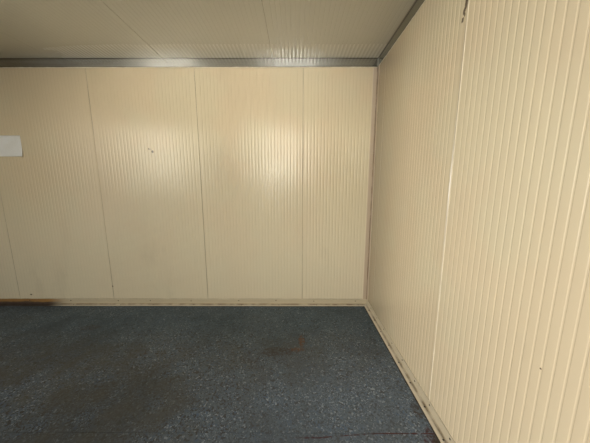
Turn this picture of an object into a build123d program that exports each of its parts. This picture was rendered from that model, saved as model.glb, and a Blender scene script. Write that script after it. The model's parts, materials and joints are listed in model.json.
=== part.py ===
from build123d import *
import os

# Room of a portable site cabin, built up from a steel base frame, sandwich panels and a
# galvanised roof frame, with its front side open.
# Millimetres. The origin is the middle of the footprint at ground level, X runs along the
# back wall, Y from the open front to the back wall, and Z up.

# Room, between the inner faces of its walls
panel_cover = 1000.0
back_whole_panels = 4
back_cut_width = 684.0
end_whole_panels = 2
end_cut_width = 200.0
room_height = 2400.0

# Sandwich panel
panel_thickness = 35.0
joint_gap = 1.0
joint_bevel = 2.0
tongue_reach = 9.0
tongue_width = 12.0
tongue_taper = 1.5
tongue_slack = 0.4
rib_margin = 50.0
rib_intervals = 28
rib_width = 8.0
rib_floor = 4.0
rib_depth = 0.8

# Crowns on the weather side of a roof panel
crown_pitch = 250.0
crown_edge = 45.0
crown_base = 66.0
crown_top = 26.0
crown_height = 34.0
lip_gauge = 1.2
lip_clearance = 0.3
lip_landing = 50.0

# Base frame
base_height = 140.0
base_gauge = 3.0
base_flange = 75.0
base_return = 18.0
kerb_height = 25.0
joist_count = 9
joist_height = 110.0
joist_flange = 50.0
joist_gauge = 2.5

# Floor
board_thickness = 19.0
board_width = 1220.0
board_gap = 1.5
covering_thickness = 3.0
covering_seam_gap = 1.5
seam_from_back = 1335.0

# Posts and roof frame
frame_gauge = 2.5
post_leg = 110.0
strip_height = 73.0

# Roof fascia
fascia_gauge = 1.0
fascia_drop = 88.0
fascia_return = 70.0
fascia_hem = 14.0
fascia_clearance = 0.3

# Length past the corners of the room at which the blanks for mitred lengths are cut
overcut = 140.0

# Inner trims
trim_gauge = 1.5
skirting_height = 62.0
skirting_foot = 31.0
corner_leg = 45.0
corner_joint_height = 1560.0
corner_joint_gap = 1.0

# Sizes that follow
room_length = back_whole_panels * panel_cover + 2 * back_cut_width
room_depth = end_whole_panels * panel_cover + 2 * end_cut_width
floor_level = base_height + board_thickness + covering_thickness
ceiling_level = floor_level + room_height
panel_height = ceiling_level - frame_gauge - base_height
rib_pitch = (panel_cover - 2 * rib_margin) / rib_intervals
frame_face = panel_thickness + frame_gauge
roof_top = ceiling_level + panel_thickness + crown_height

# Each side of the room: heading of its outward normal, distance from the middle of the room
# to the wall's inner face, and half the length of that face
SIDES = {
    "front": (270, room_depth / 2, room_length / 2),
    "right": (0, room_length / 2, room_depth / 2),
    "back": (90, room_depth / 2, room_length / 2),
    "left": (180, room_length / 2, room_depth / 2),
}


# Faces of a panel: level across the panel, and the direction into it
ROOM_FACE = (0, 1)
WEATHER_FACE = (panel_thickness, -1)


def outward(side):
    """Unit vector from the room through one of its sides."""
    return Vector(1, 0, 0).rotate(Axis.Z, SIDES[side][0])


def profile_plane(side):
    """Plane across a side: local x is outward from the inner wall face, local y is up."""
    normal = outward(side)
    return Plane(origin=normal * SIDES[side][1], x_dir=normal, z_dir=normal.cross(Vector(0, 0, 1)))


def wall_plane(side, level):
    """Level plane on a side: local x runs along the wall and local y points outward."""
    normal = outward(side)
    along = normal.cross(Vector(0, 0, 1))
    return Plane(origin=normal * SIDES[side][1] + Vector(0, 0, level), x_dir=along, z_dir=(0, 0, 1))


def folded(path, gauge):
    """Section of a folded sheet: the path is one face, the gauge lies to its left."""
    points = [Vector(*p) for p in path]
    headings = [(b - a).normalized() for a, b in zip(points, points[1:])]
    lefts = [Vector(-h.Y, h.X) for h in headings]
    inner = [points[0] + lefts[0] * gauge]
    for corner, before, after in zip(points[1:], lefts, lefts[1:]):
        inner.append(corner + (before + after) * (gauge / (1 + before.dot(after))))
    inner.append(points[-1] + lefts[-1] * gauge)
    return make_face(Polyline(*points, *reversed(inner), close=True))


def mitred(side, section, square_end=False):
    """Length of a section along a side, cut at 45 degrees at the corners of the room.

    With square_end the end at the open front is cut square."""
    half = SIDES[side][2]
    blank = extrude(profile_plane(side) * section, half + overcut, both=True)
    near, far = half - overcut, half + overcut
    # Along the right side local x of the wall plane runs to the front, along the left to the back
    front = {"right": 1, "left": -1}.get(side, 0) if square_end else 0
    right = [(half, -overcut), (half, overcut)] if front > 0 else [(near, -overcut), (far, overcut)]
    left = [(-half, overcut), (-half, -overcut)] if front < 0 else [(-far, overcut), (-near, -overcut)]
    wedge = extrude(wall_plane(side, -1) * make_face(Polyline(*right, *left, close=True)), roof_top * 2)
    return blank & wedge


def rib_places(width, joint_on_right):
    """Places of the fine ribs across a panel, counted from its joint towards the other edge."""
    places = [rib_margin + i * rib_pitch for i in range(rib_intervals + 1)]
    kept = [p for p in places if p < width - rib_width]
    return [width - p for p in kept] if joint_on_right else kept


def bevels(edge, along, faces):
    """Corners cut off beside a joint, which leave a fine vee between two panels.

    The panel runs from its edge in the direction along. Each face is a level and the direction
    into the panel."""
    cuts = []
    for level, inward in faces:
        corner = [(edge, level), (edge + along * joint_bevel, level), (edge, level + inward * joint_bevel)]
        cuts.append(make_face(Polyline(*corner, close=True)))
    return cuts


def slab_section(width, left_joint, right_joint, bevelled):
    """Section of a sandwich panel: inner face on local y 0, tongue to the right, groove left.

    Its joints are bevelled on the given faces."""
    start = joint_gap / 2 if left_joint else 0
    end = width - joint_gap / 2 if right_joint else width
    section = Pos((start + end) / 2, panel_thickness / 2) * Rectangle(end - start, panel_thickness)
    if left_joint:
        section -= bevels(start, 1, bevelled)
    if right_joint:
        section -= bevels(end, -1, bevelled)
    middle = panel_thickness / 2
    root = tongue_width / 2
    tip = root - tongue_taper
    if right_joint:
        tongue = [(end, -root), (end + tongue_reach, -tip), (end + tongue_reach, tip), (end, root)]
        section += Pos(0, middle) * make_face(Polyline(*tongue, close=True))
    if left_joint:
        bottom = start + tongue_reach - joint_gap + tongue_slack
        root += tongue_slack
        tip += tongue_slack
        groove = [(start, -root), (bottom, -tip), (bottom, tip), (start, root)]
        section -= Pos(0, middle) * make_face(Polyline(*groove, close=True))
    return section


def inner_ribs(places):
    """Fine grooves pressed into the room side of a panel, with sloped flanks and a flat floor."""
    top, floor = rib_width / 2, rib_floor / 2
    groove = make_face(Polyline((-top, 0), (top, 0), (floor, rib_depth), (-floor, rib_depth), close=True))
    return [Pos(p, 0) * groove for p in places]


def outer_ribs(places):
    """Fine grooves of the weather side, each a plain vee."""
    top = rib_width / 2
    groove = make_face(Polyline((-top, 0), (0, -rib_depth), (top, 0), close=True))
    return [Pos(p, panel_thickness) * groove for p in places]


def wall_panel_section(width, left_joint, right_joint):
    places = rib_places(width, not left_joint)
    slab = slab_section(width, left_joint, right_joint, [ROOM_FACE, WEATHER_FACE])
    return slab - inner_ribs(places) - outer_ribs(places)


def wall_panels(side, cut_width, whole_count):
    """Panels of one wall in order along local x: a cut panel, the whole ones, a cut panel."""
    widths = [cut_width] + [panel_cover] * whole_count + [cut_width]
    start = -sum(widths) / 2
    panels = {}
    for number, width in enumerate(widths, 1):
        section = wall_panel_section(width, number > 1, number < len(widths))
        solid = extrude(Pos(start, 0) * section, panel_height)
        panels[f"{side}_wall_panel_{number}"] = wall_plane(side, base_height) * solid
        start += width
    return panels


def crown(centre):
    """Trapezoid crown on the weather side of a roof panel."""
    base, top = crown_base / 2, crown_top / 2
    outline = [(-base, 0), (base, 0), (top, crown_height), (-top, crown_height)]
    return Pos(centre, panel_thickness) * make_face(Polyline(*outline, close=True))


def overlap_lip():
    """Sheet that runs from a panel's left edge over the last crown of its neighbour."""
    base, top = crown_base / 2, crown_top / 2
    rise = panel_thickness + lip_clearance
    flank = lip_clearance * 2
    path = [
        (lip_landing, rise - lip_clearance),
        (joint_gap, rise - lip_clearance),
        (-crown_edge + base + flank, rise),
        (-crown_edge + top + flank, rise + crown_height),
        (-crown_edge - top - flank, rise + crown_height),
        (-crown_edge - base - flank, rise),
    ]
    return folded(list(reversed(path)), lip_gauge)


def roof_panel_section(width, left_joint, right_joint):
    """Roof panel: fine ribs below, crowns above, the last crown under the neighbour's lip."""
    section = slab_section(width, left_joint, right_joint, [ROOM_FACE])
    section -= inner_ribs(rib_places(width, not left_joint))
    centre = width - crown_edge
    while centre > crown_edge + crown_base:
        section += crown(centre)
        centre -= crown_pitch
    if left_joint:
        section += overlap_lip()
    return section


def roof_panels():
    """Roof panels from the left end: what is left of the length as a cut panel, then whole ones."""
    length = room_length + 2 * panel_thickness
    whole_count = int(length // panel_cover)
    widths = [length - whole_count * panel_cover] + [panel_cover] * whole_count
    start = -length / 2
    half_run = room_depth / 2 + panel_thickness
    across = Plane(origin=(0, 0, ceiling_level), x_dir=(1, 0, 0), z_dir=(0, -1, 0))
    panels = {}
    for number, width in enumerate(widths, 1):
        section = roof_panel_section(width, number > 1, number < len(widths))
        panels[f"roof_panel_{number}"] = extrude(across * (Pos(start, 0) * section), half_run, both=True)
        start += width
    return panels


def base_rail(side):
    """Galvanised channel with its web outside, a lip on each flange and a kerb round the walls."""
    outer = frame_face + base_gauge
    tip = outer - base_flange
    channel = [
        (tip + base_gauge, base_return),
        (tip + base_gauge, base_gauge),
        (outer - base_gauge, base_gauge),
        (outer - base_gauge, base_height - base_gauge),
        (tip + base_gauge, base_height - base_gauge),
        (tip + base_gauge, base_height - base_return),
    ]
    section = folded(list(reversed(channel)), base_gauge)
    kerb_middle = base_height + kerb_height / 2
    section += Pos(outer - base_gauge / 2, kerb_middle) * Rectangle(base_gauge, kerb_height)
    return mitred(side, section)


def floor_joists():
    """Channels between the front and the back rail, evenly spaced, level with the rails' tops."""
    rail_tip = base_flange - frame_face - base_gauge
    half_run = room_depth / 2 - rail_tip
    spacing = room_length / (joist_count + 1)
    inner_top = joist_height - joist_gauge
    channel = [
        (joist_flange, joist_gauge),
        (joist_gauge, joist_gauge),
        (joist_gauge, inner_top),
        (joist_flange, inner_top),
    ]
    section = folded(channel, joist_gauge)
    across = Plane(origin=(0, 0, base_height - joist_height), x_dir=(1, 0, 0), z_dir=(0, -1, 0))
    joist = extrude(across * section, half_run, both=True)
    first = -room_length / 2 + spacing - joist_flange / 2
    return Compound([Pos(first + i * spacing, 0, 0) * joist for i in range(joist_count)])


def floor_boards():
    """Boards laid from the right end, side by side, the last one cut to the room."""
    boards = []
    right = room_length / 2
    while right > -room_length / 2:
        left = max(right - board_width, -room_length / 2)
        width = right - left - board_gap
        place = Pos((left + board_gap + right) / 2, 0, base_height + board_thickness / 2)
        boards.append(place * Box(width, room_depth, board_thickness))
        right = left
    return Compound(boards)


def floor_covering(front, back):
    """Sheet of floor covering between two depths of the room."""
    place = Pos(0, (front + back) / 2, floor_level - covering_thickness / 2)
    return place * Box(room_length, back - front, covering_thickness)


def corner_post(x_side, y_side):
    """Folded angle round the outside of the walls at one corner, from the rail to the roof frame."""
    foot, head = base_height, ceiling_level - strip_height
    x_face = room_length / 2 + frame_face
    y_face = room_depth / 2 + frame_face
    path = [(x_face - post_leg, y_face), (x_face, y_face), (x_face, y_face - post_leg)]
    post = Pos(0, 0, foot) * extrude(folded(list(reversed(path)), frame_gauge), head - foot)
    if x_side < 0:
        post = mirror(post, about=Plane.YZ)
    if y_side < 0:
        post = mirror(post, about=Plane.XZ)
    return post


def roof_beam(side):
    """Galvanised channel over the wall: its inner leg is the strip that shows under the ceiling."""
    foot = ceiling_level - strip_height
    channel = [
        (frame_face, foot),
        (frame_face, ceiling_level),
        (-frame_gauge, ceiling_level),
        (-frame_gauge, foot),
    ]
    return mitred(side, folded(channel, frame_gauge))


def fascia(side):
    """Painted sheet round the roof edge, with a return over the panel ends and a hem."""
    top = roof_top + lip_clearance + lip_gauge + fascia_clearance + fascia_hem
    foot = ceiling_level - fascia_drop
    inner = frame_face - fascia_return
    path = [(frame_face, foot), (frame_face, top), (inner, top), (inner, top - fascia_hem)]
    return mitred(side, folded(list(reversed(path)), fascia_gauge))


def skirting(side):
    """Angle on the floor and the wall that closes the joint between them."""
    path = [(-skirting_foot, floor_level), (0, floor_level), (0, floor_level + skirting_height)]
    return mitred(side, folded(path, trim_gauge), square_end=True)


def corner_trim(x_side):
    """Angle in a back corner in two lengths that butt, between the skirting and the strip."""
    x_face, y_face = room_length / 2, room_depth / 2
    foot = floor_level + skirting_height
    joint = floor_level + corner_joint_height
    head = ceiling_level - strip_height
    path = [(x_face - corner_leg, y_face), (x_face, y_face), (x_face, y_face - corner_leg)]
    section = folded(list(reversed(path)), trim_gauge)
    lower = Pos(0, 0, foot) * extrude(section, joint - foot)
    upper = Pos(0, 0, joint + corner_joint_gap) * extrude(section, head - joint - corner_joint_gap)
    lengths = Compound([lower, upper])
    return mirror(lengths, about=Plane.YZ) if x_side < 0 else lengths


def build_nodes():
    """Every sub-part of the cabin by its node name."""
    nodes = {}
    for side in SIDES:
        nodes[f"base_rail_{side}"] = base_rail(side)
        nodes[f"roof_beam_{side}"] = roof_beam(side)
        nodes[f"roof_fascia_{side}"] = fascia(side)
    nodes["floor_joists"] = floor_joists()
    nodes["floor_boards"] = floor_boards()
    seam = room_depth / 2 - seam_from_back
    half_seam = covering_seam_gap / 2
    nodes["floor_covering_back"] = floor_covering(seam + half_seam, room_depth / 2)
    nodes["floor_covering_front"] = floor_covering(-room_depth / 2, seam - half_seam)
    nodes.update(wall_panels("back", back_cut_width, back_whole_panels))
    for side in ("right", "left"):
        nodes.update(wall_panels(side, end_cut_width + panel_thickness, end_whole_panels))
    nodes.update(roof_panels())
    for name, x_side, y_side in (
        ("corner_post_back_right", 1, 1),
        ("corner_post_back_left", -1, 1),
        ("corner_post_front_right", 1, -1),
        ("corner_post_front_left", -1, -1),
    ):
        nodes[name] = corner_post(x_side, y_side)
    for side in ("back", "right", "left"):
        nodes[f"skirting_{side}"] = skirting(side)
    nodes["corner_trim_right"] = corner_trim(1)
    nodes["corner_trim_left"] = corner_trim(-1)
    return nodes


os.makedirs("parts", exist_ok=True)
for name, shape in build_nodes().items():
    export_step(shape, f"parts/{name}.step")
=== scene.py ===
# %% [markdown]
# # The room of a portable site cabin
#
# The cabin arrives as a fixed frame of steel rails, sandwich panels and folded sheet. Every
# panel already has its fine ribs and its tongue, so this file adds what a designer draws last:
# the screws, the sealant, the small damage, and above all the finishes. The cabin stands in
# metres with X along the back wall, Y from the open front to the back wall, and Z up.

import json
import math

import bmesh
import bpy
import numpy as np
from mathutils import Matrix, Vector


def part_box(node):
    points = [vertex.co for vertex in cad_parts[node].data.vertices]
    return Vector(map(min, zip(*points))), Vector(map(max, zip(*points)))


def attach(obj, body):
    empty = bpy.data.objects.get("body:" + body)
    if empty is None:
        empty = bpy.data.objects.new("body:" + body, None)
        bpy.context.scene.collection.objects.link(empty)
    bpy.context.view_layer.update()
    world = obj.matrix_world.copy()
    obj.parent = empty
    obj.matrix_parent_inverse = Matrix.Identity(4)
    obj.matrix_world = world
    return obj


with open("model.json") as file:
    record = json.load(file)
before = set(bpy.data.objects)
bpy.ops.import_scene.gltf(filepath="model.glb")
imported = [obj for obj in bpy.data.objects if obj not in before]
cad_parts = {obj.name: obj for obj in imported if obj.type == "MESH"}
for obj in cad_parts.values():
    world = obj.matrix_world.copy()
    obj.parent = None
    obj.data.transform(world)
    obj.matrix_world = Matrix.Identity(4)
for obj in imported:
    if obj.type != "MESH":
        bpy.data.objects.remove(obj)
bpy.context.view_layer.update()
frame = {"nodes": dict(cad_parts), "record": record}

# %% [markdown]
# ## Where the room is
#
# All later places are counted from the faces of the room, and those are read from the frame:
# the end wall's inner face, the back wall's inner face, the floor and the ceiling. If the cabin
# grows, the screws and stains go with it.

# %% Measure the room
wall_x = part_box("right_wall_panel_1")[0].x
wall_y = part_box("back_wall_panel_1")[0].y
floor_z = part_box("floor_covering_back")[1].z
ceiling_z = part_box("roof_beam_back")[1].z
strip_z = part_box("roof_beam_back")[0].z
panel_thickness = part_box("back_wall_panel_1")[1].y - wall_y
skirting_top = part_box("skirting_back")[1].z
skirting_foot = wall_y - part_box("skirting_back")[0].y
sheet_gauge = 0.0015
strip_gauge = 0.0025
corner = np.array([wall_x, wall_y, floor_z])
room_size = (2 * wall_x, 2 * wall_y, ceiling_z - floor_z)
print("room: {:.3f} long, {:.3f} deep, {:.3f} high".format(*room_size))


def from_corner(x, y, z):
    """A point counted from the back right corner of the floor: left, towards the front, up."""
    return tuple(corner + (-x, -y, z))


# %% [markdown]
# ## The camera
#
# The picture was taken with a very wide lens from the open front, a little over a metre above
# the floor and tilted down. With so wide a lens a small change of place is easy to see, so the
# camera's place is written as its distance from the back right corner.

# %% Place the camera
IMAGE_WIDTH, FOCAL_PIXELS = 590, 240.24
TILT_DOWN, TURN_LEFT = 8.97, 0.15  # degrees
camera_data = bpy.data.cameras.new("room_camera")
camera_data.sensor_width = 36.0
camera_data.lens = camera_data.sensor_width * FOCAL_PIXELS / IMAGE_WIDTH
camera_data.clip_start = 0.02
camera = bpy.data.objects.new("room_camera", camera_data)
camera.location = from_corner(0.754, 2.391, 1.274)
camera.rotation_euler = (math.radians(90 - TILT_DOWN), 0, math.radians(TURN_LEFT))
bpy.context.scene.collection.objects.link(camera)
bpy.context.scene.camera = camera
print("camera:", round(camera_data.lens, 2), "mm lens at", [round(c, 3) for c in camera.location])

# %% [markdown]
# ## Surfaces from arrays
#
# Every new piece is a grid of points: rows along one parameter, columns round the other. A
# third axis holds the copies, so that a hundred screws are one array and one mesh. Where a grid
# closes in a pole, its points fall together, and merging them leaves clean triangles.

# %% Build meshes from grids
def grid_mesh(name, points, round_columns=False):
    """Mesh from grids of points with the shape (copies, rows, columns, 3).

    Each cell of a grid becomes one quad. With round_columns the last column joins the first.
    Where the grids close up into shells, their faces are turned outwards."""
    copies, rows, columns = points.shape[:3]
    index = np.arange(copies * rows * columns).reshape(copies, rows, columns)
    if round_columns:
        index = np.concatenate([index, index[:, :, :1]], axis=2)
    corners = (index[:, :-1, :-1], index[:, :-1, 1:], index[:, 1:, 1:], index[:, 1:, :-1])
    quads = np.stack(corners, axis=-1).reshape(-1, 4)
    mesh = bpy.data.meshes.new(name)
    mesh.from_pydata(points.reshape(-1, 3).tolist(), [], quads.tolist())
    cleaner = bmesh.new()
    cleaner.from_mesh(mesh)
    bmesh.ops.remove_doubles(cleaner, verts=cleaner.verts, dist=1e-6)
    bmesh.ops.dissolve_degenerate(cleaner, edges=cleaner.edges, dist=1e-7)
    if all(edge.is_manifold for edge in cleaner.edges):
        bmesh.ops.recalc_face_normals(cleaner, faces=cleaner.faces)
    cleaner.to_mesh(mesh)
    cleaner.free()
    return mesh


def capped(rings, start, stop):
    """Rings with one more at each end, drawn together to the given point, which closes it."""
    first, last = (np.broadcast_to(point, rings[:1].shape) for point in (start, stop))
    return np.concatenate([first, rings, last])


def add_piece(mesh, material, smooth=True):
    """Object for a mesh whose place is in its points; it rides on the cabin's one body."""
    piece = bpy.data.objects.new(mesh.name, mesh)
    bpy.context.scene.collection.objects.link(piece)
    mesh.materials.append(material)
    mesh.polygons.foreach_set("use_smooth", np.full(len(mesh.polygons), smooth))
    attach(piece, "root")
    print(f"{mesh.name}: {len(mesh.polygons)} faces")
    return piece


# %% [markdown]
# ## A short hand for shader nodes
#
# A finish is a chain of small sums on the place of a point. A node's output is wrapped here as a
# value, so that a sum on it can be written as a plain sum. Each sum adds the node that works it
# out, in the tree where the value lives.

# %% Write sums on node outputs
class Value:
    """Output of a node. A sum on it is the output of a new node, which works the sum out."""

    def __init__(self, socket):
        self.socket, self.tree = socket, socket.id_data

    def __add__(self, other):
        return calc("ADD", self, other)

    def __radd__(self, other):
        return calc("ADD", other, self)

    def __sub__(self, other):
        return calc("SUBTRACT", self, other)

    def __rsub__(self, other):
        return calc("SUBTRACT", other, self)

    def __mul__(self, other):
        return calc("MULTIPLY", self, other)

    def __truediv__(self, other):
        return calc("DIVIDE", self, other)

    def __rtruediv__(self, other):
        return calc("DIVIDE", other, self)

    def __abs__(self):
        return calc("ABSOLUTE", self)


def feed(value, socket):
    """Links a value to an input, or sets the input to a number, a place or a colour."""
    if isinstance(value, Value):
        value.tree.links.new(value.socket, socket)
    else:
        socket.default_value = value


def put(tree, kind, inputs=None, **settings):
    """Adds a node with the given settings and feeds its inputs."""
    node = tree.nodes.new(kind)
    for key, setting in settings.items():
        setattr(node, key, setting)
    for key, value in (inputs or {}).items():
        feed(value, node.inputs[key])
    return node


def calc(operation, a, b=0.0, clamp=False):
    """Result of one sum on two values, of which one may be a number."""
    tree = (a if isinstance(a, Value) else b).tree
    node = put(tree, "ShaderNodeMath", {0: a, 1: b}, operation=operation, use_clamp=clamp)
    return Value(node.outputs[0])


# %% [markdown]
# A few patterns come back in every finish: the largest of some masks, a step, a smooth ramp, a
# blend of two colours, noise, and noise drawn out along an axis. Each gets a name of its own.

# %% Name the common patterns
def rgb(red, green, blue):
    """Colour for a socket: the three linear values, and full alpha."""
    return (red, green, blue, 1.0)


def highest(first, *others):
    """The largest of the values, point by point."""
    for other in others:
        first = calc("MAXIMUM", first, other)
    return first


def above(value, limit):
    """1 where the value is above the limit, and 0 elsewhere."""
    return calc("GREATER_THAN", value, limit)


def ramp(value, low, high, to_low=0.0, to_high=1.0):
    """Value carried smoothly from low..high to to_low..to_high, and held there beyond."""
    inputs = {"Value": value, "From Min": low, "From Max": high}
    inputs |= {"To Min": to_low, "To Max": to_high}
    node = put(value.tree, "ShaderNodeMapRange", inputs, interpolation_type="SMOOTHSTEP")
    return Value(node.outputs["Result"])


def blend(factor, a, b):
    """Colour between a and b."""
    inputs = {0: factor, 6: a, 7: b}
    node = put(factor.tree, "ShaderNodeMix", inputs, data_type="RGBA", clamp_factor=True)
    return Value(node.outputs[2])


def noise(vector, scale, detail=4.0, roughness=0.55):
    """Grey noise, about 0.5 on average."""
    inputs = {"Vector": vector, "Scale": scale, "Detail": detail, "Roughness": roughness}
    return Value(put(vector.tree, "ShaderNodeTexNoise", inputs).outputs["Fac"])


def stretched(vector, x, y, z):
    """The place scaled unevenly: a pattern is drawn out along the axis with the least factor."""
    inputs = {"Vector": vector, "Scale": (x, y, z)}
    return Value(put(vector.tree, "ShaderNodeMapping", inputs).outputs["Vector"])


def vector_calc(operation, inputs, output="Vector"):
    """Result of one sum on places, with the inputs by number or label."""
    node = put(inputs[0].tree, "ShaderNodeVectorMath", inputs, operation=operation)
    return Value(node.outputs[output])


def axis_values(vector):
    """The three coordinates of a place as separate values."""
    parts = put(vector.tree, "ShaderNodeSeparateXYZ", {"Vector": vector}).outputs
    return {axis: Value(parts[axis]) for axis in "XYZ"}


def cell_numbers(vector, scale):
    """A random number for each cell of a Voronoi pattern."""
    inputs = {"Vector": vector, "Scale": scale, "Randomness": 1.0}
    colour = Value(put(vector.tree, "ShaderNodeTexVoronoi", inputs).outputs["Color"])
    return Value(put(vector.tree, "ShaderNodeSeparateColor", {"Color": colour}).outputs["Red"])


# %% [markdown]
# ## Shared effects
#
# Dirt, rust and the ripple of thin sheet appear in several finishes, so each is a node group
# with named inputs, built once. The first is cloudy dirt, as hands, boots and damp leave it.

# %% Draw smudges
def new_group(name, output, **inputs):
    """Shader node group with one output, and inputs that are given with their defaults.

    An input is a number if its default is one, and else a place. Returns the inputs as values by
    name, and the socket of the output."""
    tree = bpy.data.node_groups.new(name, "ShaderNodeTree")
    for label, default in inputs.items():
        kind = "NodeSocketFloat" if isinstance(default, float) else "NodeSocketVector"
        socket = tree.interface.new_socket(label, in_out="INPUT", socket_type=kind)
        if default is not None:
            socket.default_value = default
    tree.interface.new_socket(output, in_out="OUTPUT", socket_type="NodeSocketFloat")
    outputs = put(tree, "NodeGroupInput").outputs
    given = {label: Value(outputs[label]) for label in inputs}
    print(f"group {name}: {output} from {', '.join(inputs)}")
    return given, put(tree, "NodeGroupOutput").inputs[output]


def smudge_group():
    """Cloudy dirt: broad noise, thinned out by finer noise that it is multiplied with.

    Cover moves the level at which the broad noise starts to show."""
    given, mask = new_group("Smudges", "Mask", Vector=None, Scale=1.0, Cover=0.4)
    broad = noise(given["Vector"], given["Scale"], detail=6.0, roughness=0.62)
    fine = noise(given["Vector"], given["Scale"] * 9.0, detail=5.0)
    level = 0.76 - given["Cover"] * 0.5
    feed(ramp(broad, level, level + 0.26) * ramp(fine, 0.25, 0.65, 0.35, 1.0), mask)


smudge_group()

# %% [markdown]
# Rain draws dark lines down a wall from the edge that it drips from, and no two have the same
# length. A known hole or stain is a ragged spot: a distance that fine noise bends.

# %% Draw run-off and spots
def runoff_group():
    """Rain lines: noise drawn out downwards, strong at the level Top and fading below it.

    A second noise that changes only along the wall gives every line its own share of Length."""
    given, mask = new_group("Run-off", "Mask", Vector=None, Top=2.4, Length=1.0)
    lines = noise(stretched(given["Vector"], 48, 48, 0.35), 1.0, detail=4.0, roughness=0.7)
    reach = noise(stretched(given["Vector"], 17, 17, 0), 1.0, detail=3.0)
    own_length = given["Length"] * ramp(reach, 0.3, 0.7, 0.1, 1.0)
    fall = (given["Top"] - axis_values(given["Vector"])["Z"]) / own_length
    fade = calc("SUBTRACT", 1.0, fall, clamp=True)
    feed(ramp(lines, 0.45, 0.75) * calc("POWER", fade, 1.5), mask)


def spot_group():
    """Ragged spot: 1 within Radius of Centre and 0 outside, with the distance bent by fine noise.

    Squash scales the distance on each axis, so a small number there makes the spot long."""
    given, mask = new_group(
        "Ragged spot", "Mask", Vector=None, Centre=None, Squash=(1, 1, 1), Radius=0.01
    )
    away = vector_calc("SUBTRACT", {0: given["Vector"], 1: given["Centre"]})
    scaled = vector_calc("MULTIPLY", {0: away, 1: given["Squash"]})
    length = vector_calc("LENGTH", {0: scaled}, "Value")
    rough = noise(given["Vector"], 1.2 / given["Radius"], detail=5.0)
    bent = length / given["Radius"] + (rough - 0.5)
    feed(ramp(bent, 1.1, 0.6), mask)


runoff_group()
spot_group()

# %% [markdown]
# Thin sheet is never flat. It ripples along its length as it leaves the rolls, and between two
# pressed ribs it bows out like a pillow. Both are heights, which the bump of a finish reads.

# %% Ripple the sheet
def ripple_group():
    """Height of thin coated sheet: long soft ripples along Z and the fine grain of the paint."""
    given, height = new_group("Sheet ripple", "Height", Vector=None, Ripple=1.0, Grain=1.0)
    long_wave = noise(stretched(given["Vector"], 6, 6, 0.8), 1.0, detail=1.0)
    short_wave = noise(stretched(given["Vector"], 34, 34, 2.6), 1.0, detail=2.0)
    grain = noise(given["Vector"], 900.0, detail=2.0)
    waves = (long_wave + short_wave * 0.12) * given["Ripple"]
    feed(waves + grain * 0.004 * given["Grain"], height)


def pillow_group():
    """Height of the sheet between two pressed ribs, which bows out a little: 4 t (1 - t), where t
    runs from 0 at one rib to 1 at the next. Along counts metres along the wall, and the panel
    joints lie on whole metres."""
    given, height = new_group("Rib pillow", "Height", Along=0.0, Margin=0.05, Pitch=0.0321429)
    in_panel = calc("FRACT", given["Along"]) - given["Margin"]
    t = calc("FRACT", in_panel / given["Pitch"])
    feed(t * (1.0 - t) * 4.0, height)


ripple_group()
pillow_group()

# %% [markdown]
# Every finish starts from one shader and the object's own coordinates, and ends with a colour, a
# roughness and a height. These helpers do that, and one places a shared group.

# %% Start and end a finish
def use_group(name, **inputs):
    """Places a shared group, in the tree of its inputs, and returns its one output."""
    tree = next(value.tree for value in inputs.values() if isinstance(value, Value))
    node = put(tree, "ShaderNodeGroup", inputs, node_tree=bpy.data.node_groups[name])
    return Value(node.outputs[0])


def new_material(name):
    """Material with its one Principled shader, and the object's own coordinates."""
    material = bpy.data.materials.new(name)
    material.use_nodes = True
    place = put(material.node_tree, "ShaderNodeTexCoord").outputs["Object"]
    return material, Value(place)


def shade(material, inputs):
    """Feeds the inputs of the material's shader and returns it."""
    shader = material.node_tree.nodes["Principled BSDF"]
    for key, value in inputs.items():
        feed(value, shader.inputs[key])
    return shader


def finished(material, colour, roughness, height, depth, metallic=0.0):
    """The material with its colour, its roughness and, through a bump of the given depth in
    metres, its height."""
    inputs = {"Height": height, "Distance": depth, "Strength": 1.0}
    bump = put(material.node_tree, "ShaderNodeBump", inputs)
    normal = Value(bump.outputs["Normal"])
    looks = {"Base Color": colour, "Roughness": roughness, "Normal": normal, "Metallic": metallic}
    shade(material, looks)
    print(f"{material.name}: {len(material.node_tree.nodes)} nodes")
    return material


# %% [markdown]
# A finish asks three things of a place: how far it is past the nearest wall's face, whether it
# lies on the weather side, and in which panel it is. Sums on its coordinates answer all three.

# %% Find the sides and the panels
def past_walls(vector):
    """Distance from the nearest inner wall face: negative in the room, positive in a wall."""
    place = axis_values(vector)
    return highest(abs(place["X"]) - wall_x, place["Y"] - wall_y)


def outside_mask(vector):
    """1 on the weather side of the walls and 0 in the room, from the middle of the panels."""
    return above(past_walls(vector), panel_thickness / 2)


def panel_tone(vector):
    """One grey value for each panel: white noise on the number of whole metres along the walls.

    The numbers of the two walls are moved apart, so that no two panels share one."""
    place = axis_values(vector)
    both = calc("FLOOR", place["X"] + 10.0) + calc("FLOOR", place["Y"] + 20.0) * 7.0
    node = put(vector.tree, "ShaderNodeTexWhiteNoise", {"W": both}, noise_dimensions="1D")
    return Value(node.outputs["Value"])
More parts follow.
